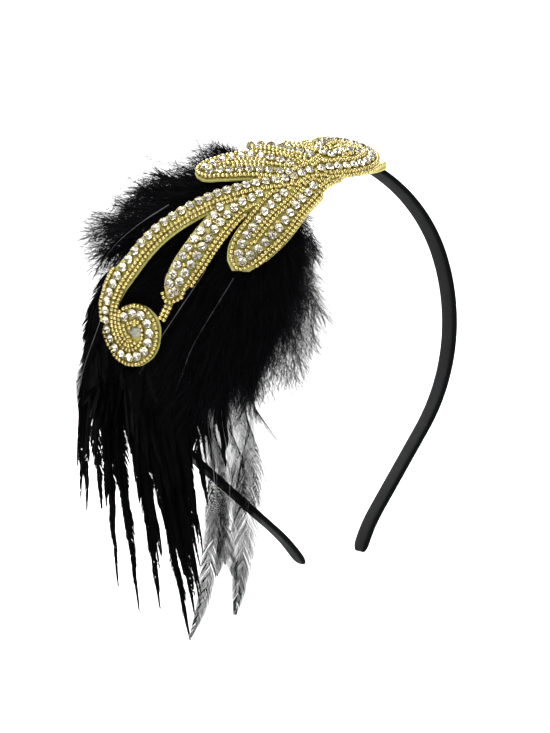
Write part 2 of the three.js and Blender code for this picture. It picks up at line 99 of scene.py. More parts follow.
class Line:
    """A centripetal spline through points, walked by length: share 0 is its start and 1 its end."""

    def __init__(self, points, fine=14):
        p = np.asarray(points, float)
        p = np.vstack([2 * p[0] - p[1], p, 2 * p[-1] - p[-2]])
        a, b, c, d = p[:-3, None], p[1:-2, None], p[2:-1, None], p[3:, None]
        spans = [np.linalg.norm(v - u, axis=-1, keepdims=True) for u, v in ((a, b), (b, c), (c, d))]
        g, h, k = (np.maximum(span, 1e-9) ** 0.5 for span in spans)
        start = ((b - a) / g - (c - a) / (g + h) + (c - b) / h) * h
        end = ((c - b) / h - (d - b) / (h + k) + (d - c) / k) * h
        t = (np.arange(fine) / fine)[None, :, None]
        dense = b * (1 - 3 * t**2 + 2 * t**3) + c * (3 * t**2 - 2 * t**3)
        dense = dense + start * (t - 2 * t**2 + t**3) + end * (t**3 - t**2)
        self.dense = np.vstack([dense.reshape(-1, p.shape[1]), p[-2]])
        run = np.linalg.norm(np.diff(self.dense, axis=0), axis=1)
        self.walk = np.concatenate([[0], np.cumsum(run)])
        self.length = self.walk[-1]

    def at(self, share):
        s = np.clip(share, 0, 1) * self.length
        return np.stack([np.interp(s, self.walk, column) for column in self.dense.T], -1)

    def along(self, share):
        step = 0.3 / self.length
        t = self.at(np.clip(share, 0, 1 - step) + step) - self.at(np.clip(share, step, 1) - step)
        return t / np.linalg.norm(t, axis=-1, keepdims=True)


def on_dome(line, share):
    """The dome's points under a row of stones, its normals there, and the way to the right of the row."""
    place = line.at(share)
    normal = drape(*chart_of(place), 0.0)[1]
    foot = place - normal * STONE_LIFT
    normal = drape(*chart_of(foot), 0.0)[1]
    side = np.cross(line.along(share), normal)
    return foot, normal, side / np.linalg.norm(side, axis=-1, keepdims=True)


def beside(line, offset, lift, start=0.0, end=1.0, rows=40):
    share = np.linspace(start, end, rows + 1)
    foot, normal, side = on_dome(line, share)
    distance = offset(share) if callable(offset) else np.full(rows + 1, float(offset))
    return Line(drape(*chart_of(foot + side * distance[:, None]), lift)[0], 4)


ROWS = {  # chart points of each row of stones, from the hub; a leaf's row goes down one side and back up the other
    "front_leaf": [
        (3, 31), (-2.4, 27), (-7.6, 22.6), (-10.6, 18.5), (-12.9, 14), (-14.4, 9.5), (-15.9, 5.7),
        (-18.2, 3),
        (-21.3, 0.8), (-25, -1), (-25.2, 2.3), (-23.9, 5.8), (-22.7, 9), (-21.5, 13.3), (-19.9, 18),
        (-17.4, 23), (-13.2, 27.8),
    ],
    "scroll": [
        (5, 41), (-10, 37), (-27, 32), (-41, 24), (-54, 14), (-65, 4), (-74, -4), (-80, -14), (-80, -23),
        (-75, -29), (-67, -30), (-60, -26), (-58, -19), (-62, -14), (-69, -15),
    ],
    "centre_leaf": [
        (-23, 26.5), (-26.5, 22.9), (-29.6, 19.6), (-31.8, 15.1), (-33.4, 11.3), (-35.1, 7.7), (-37.2, 4.3),
        (-39.8, 1), (-42.8, -2), (-45.5, -5.2), (-48, -9), (-48.8, -4.8), (-46.8, -1.4), (-44.2, 2),
        (-41.6, 5.1), (-39.6, 8),
        (-37.9, 11.1), (-36.3, 14.4), (-35, 19),
    ],
    "upper_leaf": [
        (-7, 41), (-12, 41.7), (-16.5, 42.4), (-21, 42.7), (-25.5, 43), (-30, 42.8), (-34, 42.4),
        (-38.5, 42.4),
        (-43.6, 42.6), (-44.8, 46.2), (-41.4, 49.6), (-37, 52), (-32.5, 53.6), (-27.5, 54.6), (-21.5, 54.7),
        (-16.4, 53.3), (-10, 51), (-4.3, 47.6),
    ],
    "top_leaf": [(11, 53.6), (6.2, 57.2), (1.1, 60.4), (-3.5, 64), (-8.5, 67), (-14, 69), (-20, 69.5)],
    "crown_curl": [
        (12, 40.5), (20, 39.4), (25, 38), (31, 37), (38, 37.4), (45, 40.5), (49.5, 46), (50, 52),
        (45, 58.5), (37, 62),
        (29, 62), (21.5, 59), (18.5, 53.5), (21, 48.5), (26, 48.8), (31.5, 50), (37, 48.6), (40.5, 45.5),
    ],
}
MIDDLES = {  # and of the line down the middle of each leaf
    "front_leaf": [(-2, 31), (-8, 25.5), (-13, 20), (-17, 13.5), (-18.8, 8.5), (-21, 3.6)],
    "centre_leaf": [(-28, 24.5), (-32.6, 18), (-34.8, 12.8), (-37.4, 7.8), (-40.6, 3.2), (-44, -1.2), (-47.2, -6)],
    "upper_leaf": [(-2, 44.5), (-10, 46.3), (-18, 48), (-25, 49), (-32, 48.4), (-38, 47.2), (-43, 46)],
    "front_tip": [(-19.5, 7), (-21.5, 4), (-23.4, 1.4)],
    "leaf_tip": [(-48.4, -9), (-50.2, -12.6), (-52.8, -16.5)],
    "crest": [(20, 60.5), (12, 59), (5, 61), (-2, 65)],
    "throat": [(2.4, 27), (6.5, 29.8), (12, 32), (19, 33)],
    "hub": [(17, 47), (9, 44), (1, 41.5), (-7, 38), (-15, 33), (-24, 27)],
    "crown_edge": [(4, 37.5), (14, 35.3), (24, 33.6), (34, 32.6), (42, 32.6), (48.8, 34.2)],
}
stone_rows = {name: Line(drape(*np.array(points).T, STONE_LIFT)[0]) for name, points in ROWS.items()}
middle = {name: Line(drape(*np.array(points).T, STONE_LIFT)[0]) for name, points in MIDDLES.items()}
print({name: round(row.length) for name, row in stone_rows.items()}, "mm of stones")

# %% [markdown]
# Colours are picked as sRGB hex from the look of the real thing and turned to linear light by one function.
# One more function adds a node to a material and joins its inputs, so that each material reads as a short list.


# %% Colour, node and mesh helpers
def linear(hex_code):
    parts = [int(hex_code[i : i + 2], 16) / 255 for i in (1, 3, 5)]
    return tuple(c / 12.92 if c <= 0.04045 else ((c + 0.055) / 1.055) ** 2.4 for c in parts) + (1,)


def material(name, **sockets):
    m = bpy.data.materials.new(name)
    m.use_nodes = True
    shader = m.node_tree.nodes["Principled BSDF"]
    for key, value in sockets.items():
        shader.inputs[key.replace("_", " ")].default_value = value
    return m, m.node_tree, shader


def add(tree, kind, inputs=None, **settings):
    node = tree.nodes.new(kind)
    for key, value in settings.items():
        setattr(node, key, value)
    for key, value in (inputs or {}).items():
        if isinstance(value, bpy.types.NodeSocket):
            tree.links.new(value, node.inputs[key])
        else:
            node.inputs[key].default_value = value
    return node


def build(name, verts, faces, mat, smooth=False, slot=None, on=()):
    """A mesh from points in millimetres and arrays of faces. It rides on the body and may stand for CAD nodes."""
    groups = [np.asarray(f) for f in (faces if isinstance(faces, list) else [faces])]
    mesh = bpy.data.meshes.new(name)
    verts = np.ascontiguousarray(np.asarray(verts, np.float32).reshape(-1, 3) * MM)
    loops = np.concatenate([g.ravel() for g in groups]).astype(np.int32)
    sizes = np.concatenate([np.full(len(g), g.shape[1], np.int32) for g in groups])
    mesh.vertices.add(len(verts))
    mesh.vertices.foreach_set("co", verts.ravel())
    mesh.loops.add(len(loops))
    mesh.loops.foreach_set("vertex_index", loops)
    mesh.polygons.add(len(sizes))
    mesh.polygons.foreach_set("loop_start", np.concatenate([[0], np.cumsum(sizes)[:-1]]).astype(np.int32))
    mesh.polygons.foreach_set("loop_total", sizes)
    mesh.polygons.foreach_set("use_smooth", np.full(len(sizes), smooth))
    mesh.update(calc_edges=True)
    mesh.materials.append(mat)
    obj = bpy.data.objects.new(name, mesh)
    bpy.context.scene.collection.objects.link(obj)
    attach(obj, "root")
    if on:
        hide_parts(*on)
    print(f"{name}: {int((sizes - 2).sum())} triangles")
    return obj


def tube_faces(rings, around, closed_ends=True):
    """Quads of rings of points, and the two end faces."""
    r, k = np.meshgrid(np.arange(rings - 1), np.arange(around), indexing="ij")
    a, b = r * around + k, r * around + (k + 1) % around
    quads = np.stack([a, b, b + around, a + around], -1).reshape(-1, 4)
    ends = np.stack([np.arange(around)[::-1], (rings - 1) * around + np.arange(around)])
    return [quads, ends] if closed_ends else [quads]


def stamp(points, faces, place, forward, side, normal):
    """Copies of a small shape, one in each of the frames given by place and three directions."""
    all_points = (
        place[:, None]
        + points[None, :, 0:1] * forward[:, None]
        + points[None, :, 1:2] * side[:, None]
        + points[None, :, 2:3] * normal[:, None]
    )
    shift = (np.arange(len(place)) * len(points))[:, None, None]
    return all_points.reshape(-1, 3), [(np.asarray(f)[None] + shift).reshape(-1, np.shape(f)[1]) for f in faces]


def frames_on(line, count):
    share = np.linspace(0, 1, count)
    place = line.at(share)
    normal = drape(*chart_of(place), 0.0)[1]
    side = np.cross(normal, line.along(share))
    side /= np.linalg.norm(side, axis=-1, keepdims=True)
    return place, np.cross(side, normal), side, normal


# %% [markdown]
# ## Materials
# Satin is a dense weave with long floats, so it has a broad sheen and faint threads along the ribbon. Dyed black,
# it sends back almost nothing but that sheen, so its own colour is near black and its gloss is low.

# %% Satin and the strip in it
satin, tree, shader = material("black polyester satin ribbon")
shader.inputs["Base Color"].default_value = linear("#070809")
shader.inputs["Specular IOR Level"].default_value = 0.03
place = add(tree, "ShaderNodeTexCoord").outputs["Object"]
threads = add(tree, "ShaderNodeTexNoise", {"Vector": place, "Scale": 2600.0, "Detail": 2.0})
cloudy = add(tree, "ShaderNodeTexNoise", {"Vector": place, "Scale": 260.0, "Detail": 3.0})
rough = add(tree, "ShaderNodeMapRange", {"Value": cloudy.outputs["Fac"], "To Min": 0.55, "To Max": 0.7})
tree.links.new(rough.outputs["Result"], shader.inputs["Roughness"])
bump = add(tree, "ShaderNodeBump", {"Height": threads.outputs["Fac"], "Strength": 0.18, "Distance": 0.0001})
tree.links.new(bump.outputs["Normal"], shader.inputs["Normal"])
strip_plastic, tree, shader = material("black moulded nylon strip", Roughness=0.5)
shader.inputs["Base Color"].default_value = linear("#101010")
print("satin and its strip are ready")

# %% [markdown]
# The backing is an open yellow weave, uneven in tone where it is handled and cut. Felt is a mat of short fibres
# without gloss. The net over the curl's window is grey with paler holes. Their threads are finer than the render
# can show, so each pattern is drawn a little coarser than the real one.

# %% Cloth, felt and net
cloth, tree, shader = material("woven yellow backing, cut by hand", Roughness=0.85)
place = add(tree, "ShaderNodeTexCoord").outputs["Object"]
net = add(tree, "ShaderNodeTexVoronoi", {"Vector": place, "Scale": 1700.0}, feature="DISTANCE_TO_EDGE")
patchy = add(tree, "ShaderNodeTexNoise", {"Vector": place, "Scale": 420.0, "Detail": 3.0})
two_tones = {"Factor": patchy.outputs["Fac"], "A": linear("#9c9548"), "B": linear("#cfca7c")}
tone = add(tree, "ShaderNodeMix", two_tones, data_type="RGBA")
tree.links.new(tone.outputs["Result"], shader.inputs["Base Color"])
bump = add(tree, "ShaderNodeBump", {"Height": net.outputs["Distance"], "Strength": 0.6, "Distance": 0.0002})
tree.links.new(bump.outputs["Normal"], shader.inputs["Normal"])

felt, tree, shader = material("black needled felt", Roughness=0.95)
shader.inputs["Base Color"].default_value = linear("#141415")
place = add(tree, "ShaderNodeTexCoord").outputs["Object"]
fibres = add(tree, "ShaderNodeTexNoise", {"Vector": place, "Scale": 1500.0, "Detail": 4.0})
bump = add(tree, "ShaderNodeBump", {"Height": fibres.outputs["Fac"], "Strength": 0.7, "Distance": 0.0003})
tree.links.new(bump.outputs["Normal"], shader.inputs["Normal"])

tulle, tree, shader = material("grey net over the curl's window", Roughness=0.8)
place = add(tree, "ShaderNodeTexCoord").outputs["Object"]
mesh_holes = add(tree, "ShaderNodeTexVoronoi", {"Vector": place, "Scale": 2600.0}, feature="DISTANCE_TO_EDGE")
threads = add(tree, "ShaderNodeMapRange", {"Value": mesh_holes.outputs["Distance"], "From Max": 0.12})
two_tones = {"Factor": threads.outputs["Result"], "A": linear("#c9c8b4"), "B": linear("#6f716c")}
tone = add(tree, "ShaderNodeMix", two_tones, data_type="RGBA")
tree.links.new(tone.outputs["Result"], shader.inputs["Base Color"])
print("cloth, felt and net are ready")

# %% [markdown]
# The stones are pressed crystal glass with a silver foil at the back, in gilt brass cups. The seed beads are
# transparent amber glass around a silver lining, which from outside reads as a metal under a glossy coat.

# %% Glass, foil, gilt brass, beads
crystal, tree, shader = material("pressed crystal glass", Roughness=0.0, IOR=1.62)
shader.inputs["Base Color"].default_value = linear("#fffdf6")
shader.inputs["Transmission Weight"].default_value = 1.0
foil, tree, shader = material("silver foil at the back of a stone", Metallic=1.0, Roughness=0.12)
shader.inputs["Base Color"].default_value = linear("#d9d3c2")
gilt, tree, shader = material("gilt brass cups, stamped", Metallic=1.0, Roughness=0.24)
place = add(tree, "ShaderNodeTexCoord").outputs["Object"]
worn = add(tree, "ShaderNodeTexNoise", {"Vector": place, "Scale": 900.0, "Detail": 2.0})
two_tones = {"Factor": worn.outputs["Fac"], "A": linear("#93803c"), "B": linear("#d8c77c")}
tone = add(tree, "ShaderNodeMix", two_tones, data_type="RGBA")
tree.links.new(tone.outputs["Result"], shader.inputs["Base Color"])
gold_glass, tree, shader = material("silver-lined amber seed beads", Metallic=0.85, Roughness=0.22)
place = add(tree, "ShaderNodeTexCoord").outputs["Object"]
each = add(tree, "ShaderNodeTexNoise", {"Vector": place, "Scale": 520.0, "Detail": 1.0})
two_tones = {"Factor": each.outputs["Fac"], "A": linear("#7f6a26"), "B": linear("#dccb78")}
tone = add(tree, "ShaderNodeMix", two_tones, data_type="RGBA")
tree.links.new(tone.outputs["Result"], shader.inputs["Base Color"])
shader.inputs["Coat Weight"].default_value = 1.0
shader.inputs["Coat Roughness"].default_value = 0.04
shader.inputs["Coat IOR"].default_value = 1.52

# %% [markdown]
# Feather keratin dyed black keeps a soft gloss. Down scatters more than the smooth barbs of a hackle.

# %% Feathers
down, tree, shader = material("black dyed marabou down", Roughness=0.6)
shader.inputs["Specular IOR Level"].default_value = 0.04
place = add(tree, "ShaderNodeTexCoord").outputs["Object"]
dyed = add(tree, "ShaderNodeTexNoise", {"Vector": place, "Scale": 160.0, "Detail": 2.0})
two_tones = {"Factor": dyed.outputs["Fac"], "A": linear("#020203"), "B": linear("#07070a")}
tone = add(tree, "ShaderNodeMix", two_tones, data_type="RGBA")
tree.links.new(tone.outputs["Result"], shader.inputs["Base Color"])
glossy, tree, shader = material("black dyed rooster hackle", Roughness=0.42)
shader.inputs["Specular IOR Level"].default_value = 0.02
place = add(tree, "ShaderNodeTexCoord").outputs["Object"]
dyed = add(tree, "ShaderNodeTexNoise", {"Vector": place, "Scale": 220.0, "Detail": 2.0})
two_tones = {"Factor": dyed.outputs["Fac"], "A": linear("#010101"), "B": linear("#030304")}
tone = add(tree, "ShaderNodeMix", two_tones, data_type="RGBA")
tree.links.new(tone.outputs["Result"], shader.inputs["Base Color"])
# The shafts of lone feathers are painted light grey, a painted highlight; the same shafts in the bundle are black.
# The noise mixes two greys of that painted highlight.
quill, tree, shader = material("feather shaft painted light grey as highlight", Roughness=0.3)
place = add(tree, "ShaderNodeTexCoord").outputs["Object"]
dyed = add(tree, "ShaderNodeTexNoise", {"Vector": place, "Scale": 300.0})
two_tones = {"Factor": dyed.outputs["Fac"], "A": linear("#1c1c20"), "B": linear("#66666c")}
tone = add(tree, "ShaderNodeMix", two_tones, data_type="RGBA")
tree.links.new(tone.outputs["Result"], shader.inputs["Base Color"])
print("materials:", len(bpy.data.materials))

# %% [markdown]
# ## Band
# A steel or plastic strip is covered with a tube of satin ribbon drawn over it. The tube is made by walking the
# arcs from one tip to the other with a rounded section, which is narrower at the two tips.

# %% Satin tube
def band_at(distance):
    side, left = (1 if distance >= 0 else -1), abs(distance)
    turn = across = down_by = 0.0
    for radius, degrees in BAND_ARCS:
        length = abs(radius) * math.radians(degrees) if degrees else radius
        curve = 1 / radius if degrees else 0.0
        run = min(left, length)
        after = turn + curve * run
        if curve:
            across += (math.sin(after) - math.sin(turn)) / curve
            down_by += (math.cos(turn) - math.cos(after)) / curve
        else:
            across += run * math.cos(turn)
            down_by += run * math.sin(turn)
        turn, left = after, left - run
    return np.array([side * across, 0, -down_by]), np.array([side * math.sin(turn), 0, math.cos(turn)])


half_band = sum(abs(r) * math.radians(t) if t else r for r, t in BAND_ARCS)
ends = np.array([0, 0.1, 0.3, 0.6, 1.0, 1.5, 2.2, 3.0])
walk = np.concatenate([ends, np.linspace(BAND_TIP, 2 * half_band - BAND_TIP, 260), 2 * half_band - ends[::-1]])
angles = np.linspace(0, 2 * math.pi, 28, endpoint=False)
section_y = np.sign(np.cos(angles)) * np.abs(np.cos(angles)) ** 0.28
section_out = np.sign(np.sin(angles)) * np.abs(np.sin(angles)) ** 0.55


def skin(shrink):
    """Rings of the band's skin, or of a smaller skin inside it."""
    rings = []
    for distance in walk:
        place, outward = band_at(np.clip(distance, shrink, 2 * half_band - shrink) - half_band)
        miss = BAND_TIP - min(distance, 2 * half_band - distance, BAND_TIP)
        inset = BAND_TIP - math.sqrt(BAND_TIP**2 - miss**2)
        half = BAND_WIDTH / 2 - inset * 0.6 - shrink
        high = (BAND_THICK / 2 - shrink) * (1 - 0.5 * (miss / BAND_TIP) ** 3)
        ring = place + np.outer(section_out * high + BAND_THICK / 2, outward)
        rings.append(ring + np.outer(section_y * half, [0, 1, 0]))
    return np.vstack(rings), tube_faces(len(walk), len(angles))


def turned(shape):
    """The same shape with its faces the other way round, as the inside of a wall."""
    return shape[0], [np.asarray(face)[:, ::-1] for face in shape[1]]


def gather(pieces):
    """Several shapes as one: their points, and their faces by number of corners."""
    points, faces, shift = [], {}, 0
    for verts, groups in pieces:
        for group in groups:
            group = np.asarray(group)
            faces.setdefault(group.shape[1], []).append(group + shift)
        points.append(verts)
        shift += len(verts)
    return np.vstack(points), [np.vstack(groups) for groups in faces.values()]


SATIN = 0.35  # the ribbon's wall
band = build("satin_band", *gather([skin(0), turned(skin(SATIN))]), satin, True, "satin", ["band"])
build("sprung_strip", *skin(SATIN + 0.02), strip_plastic, True)
print("band length", round(2 * half_band), "mm")

# %% [markdown]
# ## Backing cloth
# The beads are sewn through a stiff woven net, cut round the rows with a narrow rim. Each row gets a strip of
# cloth as wide as the row and its rim, and each leaf one strip down its middle that widens and closes with it.
# The strips lie a hair above each other, so that their faces never coincide.


# %% Cloth strips
PATCH_SHARES = (0.02, 0.3, 0.6, 0.85, 1.0)  # rings of a patch, from its middle to its edge
THINNER = 0.35  # the net itself is thinner than the CAD solid that stands for net and threads
RIM = 0.2  # cloth beyond the last beads


def strip(line, left, right, low, high, start=0.0, end=1.0, step=1.0, cells=6):
    """A closed strip along a line, from left to right of it, between two lifts above the dome."""
    rows = max(4, int(line.length * (end - start) / step))
    share = np.linspace(start, end, rows + 1)
    foot, _, side = on_dome(line, share)
    left = left(share) if callable(left) else np.full(rows + 1, float(left))
    right = right(share) if callable(right) else np.full(rows + 1, float(right))
    mix = np.linspace(0, 1, cells + 1)
    wide = left[:, None] * (1 - mix) + right[:, None] * mix
    spots = chart_of(foot[:, None] + side[:, None] * wide[..., None])
    top, bottom = drape(*spots, high)[0], drape(*spots, low)[0]
    loops = np.concatenate([top, bottom[:, ::-1]], axis=1)
    return loops.reshape(-1, 3), tube_faces(rows + 1, 2 * cells + 2)


def patch(outline, middle_point, low, high, count=72):
    """A closed patch of cloth inside a chart outline that can be seen whole from its middle point."""
    edge = Line(np.vstack([outline, outline[:1]])).at(np.linspace(0, 1, count + 1)[:-1])
    loops = [(share, high) for share in PATCH_SHARES]
    loops += [(share, low) for share in PATCH_SHARES[::-1]]
    middle_point = np.asarray(middle_point, float)
    points = [drape(*(middle_point + (edge - middle_point) * share).T, lift)[0] for share, lift in loops]
    return np.vstack(points), tube_faces(len(loops), count)


# %% [markdown]
# How far the cloth reaches beyond a row depends on what is sewn beside it: nothing, one string of beads or two.
# The two curls are closed patches, and a small window of net lies on the scroll's curl.

# %% Cloth, cut and joined
ONE = BESIDE + BEAD / 2 + RIM
TWO = SECOND + BEAD / 2 + RIM
BARE = CUP / 2 + RIM


def widths(*table):
    """A width along a row, from pairs of share and width."""
    shares, values = zip(*table)
    return lambda share: np.interp(share, shares, values)


front_left = widths((0, -TWO), (0.45, -TWO), (0.6, -ONE), (1, -ONE))
centre_left = widths((0, -ONE), (0.5, -ONE), (0.6, -BARE), (1, -BARE))
scroll_left = widths((0, -BARE), (0.1, -TWO), (0.56, -TWO), (0.66, -ONE), (1, -ONE))
scroll_right = widths((0, BARE), (0.5, BARE), (0.62, ONE), (0.93, ONE), (1, BARE))
crown_right = widths((0, ONE), (0.72, ONE), (0.8, BARE), (1, BARE))
lanes = [  # row, cloth to its left and right, start, end
    (stone_rows["front_leaf"], front_left, BARE, 0, 1),
    (stone_rows["centre_leaf"], centre_left, BARE, 0, 1),
    (stone_rows["upper_leaf"], -ONE, BARE, 0, 1),
    (stone_rows["scroll"], scroll_left, scroll_right, 0, 1),
    (stone_rows["crown_curl"], -ONE, crown_right, 0, 1),
    (stone_rows["top_leaf"], -TWO, BARE, 0, 1),
    (middle["front_leaf"], -4.2, 4.2, 0, 1),
    (middle["centre_leaf"], -2.4, 2.4, 0, 0.95),
    (middle["upper_leaf"], -3.6, 3.6, 0, 0.95),
    (middle["hub"], -5.5, 5.5, 0, 1),
    (middle["crown_edge"], -1.6, 1.4, 0, 1),
    (middle["front_tip"], -2.6, 2.6, 0, 1),
    (middle["leaf_tip"], -1.1, 1.1, 0, 1),
    (middle["crest"], -2.8, 2.8, 0, 1),
    (middle["throat"], -2.2, 2.0, 0, 1),
]
pieces_of_cloth = []
for number, (line, left, right, start, end) in enumerate(lanes):
    lift = GAP + 0.03 * number
    pieces_of_cloth.append(strip(line, left, right, lift + THINNER, lift + CLOTH, start, end))
CURL, CURL_CENTRE = ROWS["scroll"][7:], (-68, -21.5)
CROWN, CROWN_CENTRE = ROWS["crown_curl"][2:13], (34, 50)
WINDOW = (-64.5, -20.8)
pieces_of_cloth.append(patch(CURL, CURL_CENTRE, GAP - 0.06, GAP + CLOTH - 0.06))
pieces_of_cloth.append(patch(CROWN, CROWN_CENTRE, GAP - 0.06, GAP + CLOTH - 0.06))
verts, faces = gather(pieces_of_cloth)
backing = build("backing_cloth", verts, faces, cloth, False, "backing_cloth", ["motif_cloth"])
angle = np.linspace(0, 2 * math.pi, 25)[:-1]
window = np.stack([WINDOW[0] + 3.4 * np.cos(angle), WINDOW[1] + 1.7 * np.sin(angle)], -1)
lift = GAP + CLOTH + 0.35
net_shape = patch(window, WINDOW, lift - 0.15, lift, 24)
net_window = build("net_window", *net_shape, tulle, False, "backing_cloth")

# %% [markdown]
# ## Stones
# A stone has a table, eight star facets, eight kites and sixteen girdle facets above the girdle, and a cone of
# eight facets below it. Its cup is a low stamped ring with four claws bent over the girdle.


# %% One stone, one foil and one cup
def circle(count, radius, height, turn=0.0):
    a = 2 * math.pi * (np.arange(count) + turn) / count
    return np.stack([radius * np.cos(a), radius * np.sin(a), np.full(count, height)], -1)


def cut_stone():
    points = np.vstack([
        circle(8, 0.82, 1.95), circle(8, 1.2, 1.66, 0.5), circle(16, 1.48, 1.14),
        circle(16, 1.48, 1.04), circle(8, 0.66, 0.5, 0.5), [[0, 0, 0.12]],
    ])
    table, star, girdle, lower, cone, tip = 0, 8, 16, 32, 48, 56
    tris, quads = [], []
    for k in range(8):
        n = (k + 1) % 8
        before = (k - 1) % 8
        tris.append((table + k, star + k, table + n))
        quads.append((table + k, star + before, girdle + 2 * k, star + k))
        tris.append((star + k, girdle + 2 * k, girdle + 2 * k + 1))
        tris.append((star + k, girdle + 2 * k + 1, girdle + (2 * k + 2) % 16))
        quads.append((cone + k, lower + (2 * k + 2) % 16, lower + 2 * k + 1, lower + 2 * k))
        tris.append((cone + k, cone + n, lower + (2 * k + 2) % 16))
        tris.append((tip, cone + n, cone + k))
    for k in range(16):
        quads.append((girdle + k, lower + k, lower + (k + 1) % 16, girdle + (k + 1) % 16))
    return points, [np.array(tris), np.array(quads), np.arange(8)[None]]


def foil_cone():
    points = np.vstack([circle(8, 1.36, 0.93, 0.5), circle(8, 0.62, 0.4, 0.5), [[0, 0, 0.02]]])
    quads = np.array([(k, (k + 1) % 8, 8 + (k + 1) % 8, 8 + k) for k in range(8)])
    return points, [quads, np.array([(8 + k, 8 + (k + 1) % 8, 16) for k in range(8)])]


def cup():
    rings_of = [
        (1.2, 0.0), (1.52, 0.12), (1.58, 0.5), (1.6, 1.0), (1.5, 1.14), (1.46, 0.95), (1.4, 0.5),
        (1.2, 0.02),
    ]
    bent = ((1.62, 0.22, 0.5), (1.55, 0.2, 1.22), (1.28, 0.12, 1.5))  # a claw's distance, half width and height
    points = np.vstack([circle(16, radius, height) for radius, height in rings_of])
    shapes = [(points, tube_faces(len(rings_of), 16, False))]
    for k in range(4):
        a = math.pi / 4 + k * math.pi / 2
        turn = np.array([[math.cos(a), math.sin(a), 0], [-math.sin(a), math.cos(a), 0], [0, 0, 1]])
        claw = [(r, s * w, h) for r, w, h in bent for s in (-1, 1)]
        thin = [(r - 0.1, y, h - 0.12) for r, y, h in claw]
        corners = np.array(claw + thin) @ turn
        quads = [
            (0, 1, 3, 2), (2, 3, 5, 4), (7, 6, 8, 9), (9, 8, 10, 11), (0, 2, 8, 6),
            (2, 4, 10, 8), (3, 1, 7, 9), (5, 3, 9, 11), (4, 5, 11, 10), (1, 0, 6, 7),
        ]
        shapes.append((corners, [np.array(quads)]))
    return gather(shapes)


# %% [markdown]
# Cup chain is sold by the metre, with one cup every 3.3 mm. Cups follow the row, while each stone sits in its cup
# at its own small tilt and turn. That is why a real row glitters unevenly, and why each one is varied here.

# %% Rows of stones
def tipped(spots, pull):
    place, forward, _, normal = spots
    normal = normal + np.asarray(pull)
    normal /= np.linalg.norm(normal, axis=1, keepdims=True)
    side = np.cross(normal, forward)
    side /= np.linalg.norm(side, axis=1, keepdims=True)
    return place, np.cross(side, normal), side, normal


glass_shape, foil_shape, cup_shape = cut_stone(), foil_cone(), cup()
stone_places = []
for name, row in stone_rows.items():
    count = max(2, round(row.length / PITCH)) + 1
    spots = frames_on(row, count)
    if name == "top_leaf":  # this leaf stands up a little, so its stones look forward
        spots = tipped(spots, [0, -1.5, 0])
    stone_places.append(spots[0] + spots[3] * (BEAD_LIFT - STONE_LIFT))
    wobble = rng.normal(0, 0.05, (count, 3))
    normal = spots[3] + wobble
    normal /= np.linalg.norm(normal, axis=1, keepdims=True)
    spin = rng.uniform(0, 2 * math.pi, count)[:, None]
    forward = np.cos(spin) * spots[1] + np.sin(spin) * spots[2]
    side = np.cross(normal, forward)
    build(f"cups_{name}", *stamp(*cup_shape, *spots), gilt, True, "gold_beads")
    build(f"foils_{name}", *stamp(*foil_shape, spots[0], forward, side, normal), foil, False, "rhinestones")
    cut_row = stamp(*glass_shape, spots[0], forward, side, normal)
    build(f"crystals_{name}", *cut_row, crystal, False, "rhinestones", [f"stones_{name}"])

# %% [markdown]
# ## Seed beads
# A seed bead is a short cut of glass cane with its edges melted round. The beads sit side by side on thread that
# runs along the stones. Each bead is tipped and sized a little differently, as they are never quite alike.


# %% One bead, then rows of them
def seed_bead():
    half = [(-0.5, 0.36), (-0.62, 0.55), (-0.5, 0.74)]
    profile = half + [(0.0, 0.84)] + [(-length, radius) for length, radius in half[::-1]]
    points = np.vstack([circle(10, radius, 0)[:, [2, 0, 1]] + [[length, 0, 0]] for length, radius in profile])
    return points, tube_faces(len(profile), 10, False)


bead_shape = seed_bead()
bead_rows = {
    "front_leaf_edge": beside(stone_rows["front_leaf"], -BESIDE, BEAD_LIFT, 0, 0.97),
    "front_leaf_middle": beside(middle["front_leaf"], 0, BEAD_LIFT, 0, 1),
    "scroll_arm": beside(stone_rows["scroll"], -BESIDE, BEAD_LIFT, 0.06, 0.62),
    "scroll_curl": beside(stone_rows["scroll"], BESIDE, BEAD_LIFT, 0.55, 1),
    "centre_leaf_edge": beside(stone_rows["centre_leaf"], -BESIDE, BEAD_LIFT, 0.04, 0.6),
    "upper_leaf_edge": beside(stone_rows["upper_leaf"], -BESIDE, BEAD_LIFT, 0.0, 1),
    "upper_leaf_middle": beside(middle["upper_leaf"], 0, BEAD_LIFT, 0, 0.95),
    "top_leaf": beside(stone_rows["top_leaf"], -BESIDE, BEAD_LIFT, 0),
    "crown_curl_inside": beside(stone_rows["crown_curl"], -BESIDE, BEAD_LIFT, 0.02, 0.7),
    "crown_curl_outside": beside(stone_rows["crown_curl"], BESIDE, BEAD_LIFT, 0.02, 0.72),
}
stone_places = np.vstack(stone_places)
window_place = drape(*WINDOW, BEAD_LIFT)[0]
kept_beads = []


def string_of_beads(line, clear_of_stones=1.9, clear_of_beads=0.0, window_clear=0.0):
    """Beads along a line, left out where a stone, another string's bead or the net window is too near."""
    count = max(3, round(line.length / BEAD_PITCH))
    share = (np.arange(count) + 0.5) / count
    place = line.at(share)
    far = np.linalg.norm(place[:, None] - stone_places, axis=-1).min(1) > clear_of_stones
    if kept_beads:
        far &= np.linalg.norm(place[:, None] - np.vstack(kept_beads), axis=-1).min(1) > clear_of_beads
    far &= np.linalg.norm(place - window_place, axis=-1) > window_clear
    place, share = place[far], share[far]
    kept_beads.append(place)
    count = len(place)
    normal = drape(*chart_of(place), 0.0)[1]
    forward = line.along(share) + rng.normal(0, 0.09, (count, 3))
    forward /= np.linalg.norm(forward, axis=1, keepdims=True)
    side = np.cross(normal, forward)
    side /= np.linalg.norm(side, axis=1, keepdims=True)
    size = rng.uniform(0.93, 1.07, count)[:, None]
    place = place + normal * rng.normal(0, 0.06, (count, 1))
    return stamp(*bead_shape, place, forward * size, side * size, np.cross(forward, side) * size)


